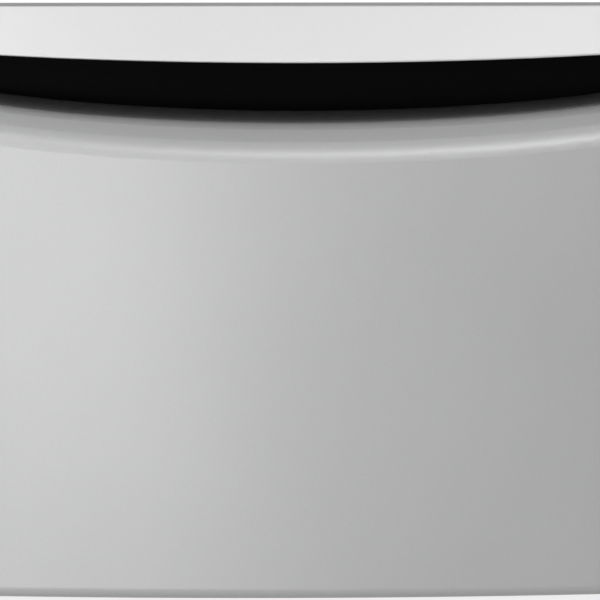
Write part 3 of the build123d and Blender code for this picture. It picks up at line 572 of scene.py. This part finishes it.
bumper = {  # half section in millimetres: stem and barb behind the flange, domed cap in front
    "section": ((0, -4.0), (1.9, -4.0), (3.2, -1.4), (3.1, -1.2), (2.5, -1.2), (2.5, 0), (4.7, 0), (5.0, 0.4),
                (5.0, 1.3), (4.7, 2.0), (4.0, 2.5), (3.0, 2.7), (2.4, 2.6), (2.0, 2.3), (0, 2.3)),
    "steps": 40, "capRadius": 0.005, "capHeight": 0.0027, "smoothBelow": 35,
}


def makeBumpers(look):
    low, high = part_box("drawer_bumpers")
    cap = turned("bumper_rubber", millimetres(look["section"]), look["steps"])
    smooth(cap, look["smoothBelow"])
    cap.rotation_euler = (pi / 2, 0, 0)  # its axis now points to the front
    bpy.ops.object.transform_apply(location=False, rotation=True, scale=False)
    reach = look["capRadius"]
    flangeY = low.y + look["capHeight"]
    spots = [(x, flangeY, z) for x in (low.x + reach, high.x - reach)
             for z in (low.z + reach, high.z - reach)]
    caps = [copyTo(cap, "domed_bumpers", spot) for spot in spots]
    bpy.data.objects.remove(cap)
    takeUp(*caps)
    bpy.ops.object.join()
    bpy.context.object.name = "domed_bumpers"
    return bpy.context.object


dress(makeBumpers(bumper), "cabinet", "black_rubber", "drawer_bumpers")
print("bumpers made")

sheetEdges = {"sameFace": 0.6, "sharpAbove": 25, "smoothBelow": 40, "flatWeight": 100}  # angles in degrees


def mergedCopy(nodeName, name):  # a CAD node's triangles joined up into whole faces, free of fixed normals
    piece = bpy.data.objects.new(name, nodes[nodeName].data.copy())
    bpy.context.scene.collection.objects.link(piece)
    takeUp(piece)
    bpy.ops.mesh.customdata_custom_splitnormals_clear()
    bpy.ops.object.mode_set(mode="EDIT")
    bpy.ops.mesh.select_all(action="SELECT")
    bpy.ops.mesh.remove_doubles(threshold=fine["merge"])
    bpy.ops.mesh.dissolve_limited(angle_limit=radians(sheetEdges["sameFace"]))
    bpy.ops.object.mode_set(mode="OBJECT")
    return piece


def softenEdges(piece, chosen, radius, steps):  # rounds the sharp edges whose two ends pass the test
    takeUp(piece)
    bpy.ops.object.mode_set(mode="EDIT")
    bpy.ops.mesh.select_mode(type="EDGE")
    bpy.ops.mesh.select_all(action="DESELECT")
    bpy.ops.mesh.edges_select_sharp(sharpness=radians(sheetEdges["sharpAbove"]))
    bpy.ops.object.mode_set(mode="OBJECT")
    corners = piece.data.vertices
    for edge in piece.data.edges:
        if edge.select and not all(chosen(corners[i].co) for i in edge.vertices):
            edge.select = False
    bpy.ops.object.mode_set(mode="EDIT")
    bpy.ops.mesh.bevel(offset=radius, segments=steps, affect="EDGES", clamp_overlap=True)
    bpy.ops.object.mode_set(mode="OBJECT")


def flatShade(piece):  # rounded edges shade smoothly while the flats stay flat
    smooth(piece, sheetEdges["smoothBelow"])
    even = piece.modifiers.new("even", "WEIGHTED_NORMAL")
    even.keep_sharp = True
    even.weight = sheetEdges["flatWeight"]
    bpy.ops.object.modifier_apply(modifier="even")


deckPress = {
    "sheet": 0.002, "corner": 0.006, "cornerSteps": 8, "edgeRound": 0.0005, "edgeSteps": 2, "rimReach": 0.003,
    "beadCount": 5, "beadPitch": 0.08, "beadSteps": 14,
    "beadReach": 0.2177,  # from the middle of a bead to the centre of its round end
    "beadSection": ((8.4, 0), (7.8, -0.1), (7.25, -0.42), (6.85, -0.95), (6.6, -1.5), (6.35, -2.05),
                    (5.95, -2.58), (5.35, -2.9), (4.6, -3.0), (0, -3.0)),
    "boltSpread": (0.29, 0.27), "boltRadius": 0.0055, "holeSteps": 32,
    "screwInset": 0.009, "screwShares": (-0.42, 0, 0.42), "screwRadius": 0.0042,
}


def pressedBead(look):  # half a section taken round one end, down one side, round the other end and back
    bead = drawProfile("deck_bead", millimetres(look["beadSection"]))
    reach = look["beadReach"]
    bpy.ops.object.mode_set(mode="EDIT")
    bpy.ops.mesh.select_all(action="SELECT")
    bpy.ops.transform.translate(value=(0, reach, 0))
    for end in (reach, -reach):
        bpy.ops.mesh.spin(steps=look["beadSteps"], angle=pi, center=(0, end, 0), axis=(0, 0, -1))
        bpy.ops.mesh.extrude_region_move(TRANSFORM_OT_translate={"value": (0, -2 * end, 0)})
    bpy.ops.object.mode_set(mode="OBJECT")
    closeUp(bead)
    return bead


def ringAt(name, radius, steps, place):  # an empty ring that becomes the edge of a hole
    bpy.ops.object.select_all(action="DESELECT")
    bpy.ops.mesh.primitive_circle_add(vertices=steps, radius=radius, location=place)
    bpy.context.object.name = name
    bpy.ops.object.transform_apply(location=True)
    return bpy.context.object


def deckOutline(look, low, high):  # a flat ring with rounded corners at the deck's top
    bpy.ops.object.select_all(action="DESELECT")
    bpy.ops.mesh.primitive_plane_add(size=1, location=(0, (low.y + high.y) / 2, high.z))
    deck = bpy.context.object
    deck.name = "pressed_deck"
    deck.scale = (high.x - low.x, high.y - low.y, 1)
    bpy.ops.object.transform_apply(location=True, rotation=False, scale=True)
    bpy.ops.object.mode_set(mode="EDIT")
    bpy.ops.mesh.select_all(action="SELECT")
    bpy.ops.mesh.bevel(offset=look["corner"], segments=look["cornerSteps"], affect="VERTICES")
    bpy.ops.mesh.select_all(action="SELECT")
    bpy.ops.mesh.delete(type="ONLY_FACE")
    bpy.ops.object.mode_set(mode="OBJECT")
    return deck


def deckOpenings(look, low, high):  # the drawn beads, and the rings of the bolt and screw holes
    middleY = (low.y + high.y) / 2
    depth = high.y - low.y
    bead = pressedBead(look)
    shift = (look["beadCount"] - 1) / 2
    openings = [copyTo(bead, "deck_bead", ((i - shift) * look["beadPitch"], middleY, high.z))
                for i in range(look["beadCount"])]
    bpy.data.objects.remove(bead)
    spreadX, spreadY = look["boltSpread"]
    openings += [ringAt("bolt_ring", look["boltRadius"], look["holeSteps"], (x, middleY + y, high.z))
                 for x in (-spreadX, spreadX) for y in (-spreadY, spreadY)]
    screwRows = (low.x + look["screwInset"], high.x - look["screwInset"])
    screwPlaces = [middleY + share * depth for share in look["screwShares"]]
    openings += [ringAt("screw_ring", look["screwRadius"], look["holeSteps"], (x, y, high.z))
                 for x in screwRows for y in screwPlaces]
    return openings


def makeDeck(look):  # outline, drawn beads and holes joined in one sheet, then given its thickness
    low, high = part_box("top_deck")
    deck = deckOutline(look, low, high)
    takeUp(*deckOpenings(look, low, high), deck)
    bpy.ops.object.join()
    bpy.ops.object.mode_set(mode="EDIT")
    bpy.ops.mesh.select_mode(type="EDGE")
    bpy.ops.mesh.select_all(action="DESELECT")
    bpy.ops.mesh.select_non_manifold()
    bpy.ops.mesh.fill(use_beauty=True)
    bpy.ops.object.mode_set(mode="OBJECT")
    closeUp(deck)
    upward = sum(face.normal.z * face.area for face in deck.data.polygons)
    if upward < 0:
        bpy.ops.object.mode_set(mode="EDIT")
        bpy.ops.mesh.select_all(action="SELECT")
        bpy.ops.mesh.flip_normals()
        bpy.ops.object.mode_set(mode="OBJECT")
    thick = deck.modifiers.new("thick", "SOLIDIFY")
    thick.thickness = look["sheet"]
    thick.offset = -1
    bpy.ops.object.modifier_apply(modifier="thick")

    def onRim(point):
        near = min(point.x - low.x, high.x - point.x, point.y - low.y, high.y - point.y)
        return near < look["rimReach"] and abs(point.z - high.z) < fine["level"]

    softenEdges(deck, onRim, look["edgeRound"], look["edgeSteps"])
    flatShade(deck)
    return deck


dress(makeDeck(deckPress), "cabinet", "grey_deck_paint", "top_deck")

rearPress = {"fieldDepth": 0.006, "sideInset": 0.04, "endInset": 0.03, "edgeRound": 0.0022, "steps": 4}


def makeRearPanel(look):  # drawn field with rolled edges
    panel = mergedCopy("rear_panel", "pressed_rear_panel")
    low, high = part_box("rear_panel")

    def inField(point, level):
        across = abs(point.x) < high.x - look["sideInset"]
        upright = low.z + look["endInset"] < point.z < high.z - look["endInset"]
        return across and upright and abs(point.y - level) < fine["level"]

    for level in (high.y, high.y - look["fieldDepth"]):
        softenEdges(panel, lambda p: inField(p, level), look["edgeRound"], look["steps"])
    flatShade(panel)
    return panel


dress(makeRearPanel(rearPress), "cabinet", "galvanised_steel", "rear_panel")

binPress = {
    "sheetTop": 0.054, "beadTop": 0.0555, "beadSpread": 0.18, "frontInset": 0.03, "backInset": 0.01,
    "edgeRound": 0.0006, "steps": 3,
}


def makeBinBottom(look):  # raised beads with soft shoulders
    bottom = mergedCopy("bin_bottom", "pressed_bin_bottom")
    low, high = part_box("bin_bottom")

    def onBead(point, level):
        across = abs(point.x) < look["beadSpread"]
        along = low.y + look["frontInset"] < point.y < high.y - look["backInset"]
        return across and along and abs(point.z - level) < fine["level"]

    for level in (look["beadTop"], look["sheetTop"]):
        softenEdges(bottom, lambda p: onBead(p, level), look["edgeRound"], look["steps"])
    flatShade(bottom)
    return bottom


dress(makeBinBottom(binPress), "drawer", "bin_paint", "bin_bottom")
print("pressed sheets made")

gripRim = {  # rolled rim of the scoop, section in millimetres behind and above the back of the lip
    "section": ((-2.2, -1.0), (-2.2, 0.0), (-1.4, 1.5), (-0.5, 2.9), (0.5, 4.1), (1.7, 5.2), (3.1, 6.0),
                (4.7, 6.6), (6.2, 6.9), (7.2, 6.6), (7.5, 5.8), (7.2, -1.0)),
    "bowRadius": 1.0432, "bowAxisY": 0.6632, "setBack": 0.0272,
    "lipZ": 0.2902, "lipRadius": 1.6, "lipHalf": 0.13,  # the middle arc of the lip
    "endRadius": 0.8630, "endAxis": (0.0599, 1.1556),  # the steeper arcs beside it
    "half": 0.238, "steps": 96, "taper": 0.045, "endShare": 0.1, "smoothBelow": 40,
}


def lipPoint(look, x):  # a point on the back edge of the lip
    across = abs(x)
    if across < look["lipHalf"]:
        z = look["lipZ"] + look["lipRadius"] - (look["lipRadius"] ** 2 - x ** 2) ** 0.5
    else:
        axisX, axisZ = look["endAxis"]
        z = axisZ - (look["endRadius"] ** 2 - (across - axisX) ** 2) ** 0.5
    return Vector((x, look["bowAxisY"] - ((look["bowRadius"] - look["setBack"]) ** 2 - x ** 2) ** 0.5, z))


def makeGripRim(look):  # a closed section drawn at the left end, pulled along the lip, small at both ends
    steps = look["steps"]
    stations = [lipPoint(look, (2 * i / steps - 1) * look["half"]) for i in range(steps + 1)]
    shares = [min(1, (look["half"] - abs(station.x)) / look["taper"]) for station in stations]
    sizes = [look["endShare"] + (1 - look["endShare"]) * sin(share * pi / 2) for share in shares]
    section = [Vector((0, back, rise)) for back, rise in millimetres(look["section"])]
    rim = drawLine("grip_rim", [stations[0] + point * sizes[0] for point in section])
    bpy.ops.object.mode_set(mode="EDIT")
    bpy.ops.mesh.select_all(action="SELECT")
    bpy.ops.mesh.edge_face_add()
    for i in range(steps):
        bpy.ops.mesh.extrude_region_move(TRANSFORM_OT_translate={"value": stations[i + 1] - stations[i]})
        grow = sizes[i + 1] / sizes[i]
        bpy.ops.transform.resize(value=(1, grow, grow), center_override=stations[i + 1])
    bpy.ops.mesh.select_all(action="SELECT")
    bpy.ops.mesh.normals_make_consistent(inside=False)
    bpy.ops.object.mode_set(mode="OBJECT")
    smooth(rim, look["smoothBelow"])
    return rim


dress(makeGripRim(gripRim), "drawer", "black_rubber")
print("grip rim made")


def seenRays(tree):  # 1 for rays that show the background: straight, mirrored or through glass
    path = tree.nodes.new("ShaderNodeLightPath")
    straight, mirrored, through = [Wire(tree, path.outputs[name])
                                   for name in ("Is Camera Ray", "Is Glossy Ray", "Is Transmission Ray")]
    return straight + mirrored + through


floorPlan = {
    "size": 24.0, "colour": (0.80, 0.80, 0.80), "near": 0.8, "nearGlow": 0.83, "far": 3.0, "farGlow": 1.0,
}


def layFloor(plan):  # pale floor that keeps the shadow under the object
    bpy.ops.object.select_all(action="DESELECT")
    bpy.ops.mesh.primitive_plane_add(size=plan["size"], location=(0, 0, 0))
    floor = bpy.context.object
    floor.name = "studio_floor"
    finish = bpy.data.materials.new("studio_floor")
    finish.use_nodes = True
    finish.node_tree.nodes.clear()
    seen = seenRays(finish.node_tree)
    spot = Wire(finish.node_tree, finish.node_tree.nodes.new("ShaderNodeTexCoord").outputs["Object"])
    away = spot.node("VectorMath", {"operation": "LENGTH"}, {0: spot}, "Value")
    glow = away.node("MapRange", {"interpolation_type": "SMOOTHSTEP"}, {
        "Value": away, "From Min": plan["near"], "From Max": plan["far"],
        "To Min": plan["nearGlow"], "To Max": plan["farGlow"]})
    plain = seen.node("BsdfDiffuse", {}, {"Color": (*plan["colour"], 1)})
    white = seen.node("Emission", {}, {"Color": (1, 1, 1, 1), "Strength": 1.0})
    mixed = seen.node("MixShader", {}, {0: seen * glow, 1: plain, 2: white})
    seen.node("OutputMaterial", {}, {"Surface": mixed})
    floor.data.materials.append(finish)


layFloor(floorPlan)

lampRig = {"target": Vector((0, -0.33, 0.22)), "distance": 2.4}
lampPlan = {  # azimuth 0 is straight in front, minus is to the left
    "left_far": {"azimuth": -72, "elevation": 6, "width": 1.2, "height": 1.0, "power": 15.5},
    "left_wall": {"azimuth": -56, "elevation": 6, "width": 1.2, "height": 1.0, "power": 16},
    "left_low": {"azimuth": -18, "elevation": -1.5, "width": 0.9, "height": 0.25, "power": 4.4},
    "left_high": {"azimuth": -40, "elevation": 40, "width": 0.8, "height": 0.6, "power": 3.5},
    "front_low": {"azimuth": -20, "elevation": -4, "width": 1.4, "height": 0.1, "power": 3.6},
    "middle_high": {"azimuth": 0, "elevation": 32, "width": 1.2, "height": 0.5, "power": 7.2},
    "right_high": {"azimuth": 28, "elevation": 32, "width": 0.8, "height": 0.5, "power": 7.6},
    "right_wall": {"azimuth": 60, "elevation": 40, "width": 1.2, "height": 1.0, "power": 6},
}


def hangLamps(rig, plan):
    for name, lamp in plan.items():
        turn = radians(lamp["azimuth"])
        rise = radians(lamp["elevation"])
        way = Vector((sin(turn) * cos(rise), -cos(turn) * cos(rise), sin(rise)))
        bpy.ops.object.light_add(type="AREA", location=rig["target"] + way * rig["distance"])
        hung = bpy.context.object
        hung.name = "lamp_" + name
        hung.rotation_euler = (-way).to_track_quat("-Z", "Y").to_euler()
        hung.data.shape = "RECTANGLE"
        hung.data.size = lamp["width"]
        hung.data.size_y = lamp["height"]
        hung.data.energy = lamp["power"]
        hung.visible_camera = False


hangLamps(lampRig, lampPlan)

airPlan = {"fill": 0.22}


def fillAir(plan):  # white to the camera and in reflections, a plain fill for the rest
    world = bpy.data.worlds.new("studio_air")
    bpy.context.scene.world = world
    world.use_nodes = True
    world.node_tree.nodes.clear()
    seen = seenRays(world.node_tree)
    strength = plan["fill"] + seen * (1 - plan["fill"])
    light = seen.node("Background", {}, {"Color": (1, 1, 1, 1), "Strength": strength})
    seen.node("OutputWorld", {}, {"Surface": light})


fillAir(airPlan)
print("floor, lamps and air set")

cameraPlan = {
    "place": (-0.0699, -3.380, 0.3567), "yaw": -0.0223, "pitch": 0.0561, "roll": 0.0011,
    "lens": 311.2, "sensor": 36, "farClip": 60,
}


def setCamera(plan):
    bpy.ops.object.camera_add(location=plan["place"])
    camera = bpy.context.object
    camera.data.sensor_width = plan["sensor"]
    camera.data.lens = plan["lens"]
    camera.data.clip_end = plan["farClip"]
    level = Euler((pi / 2 - plan["pitch"], 0, plan["yaw"]), "XYZ").to_matrix()
    camera.rotation_euler = (level @ Euler((0, 0, -plan["roll"])).to_matrix()).to_euler()
    bpy.context.scene.camera = camera


setCamera(cameraPlan)
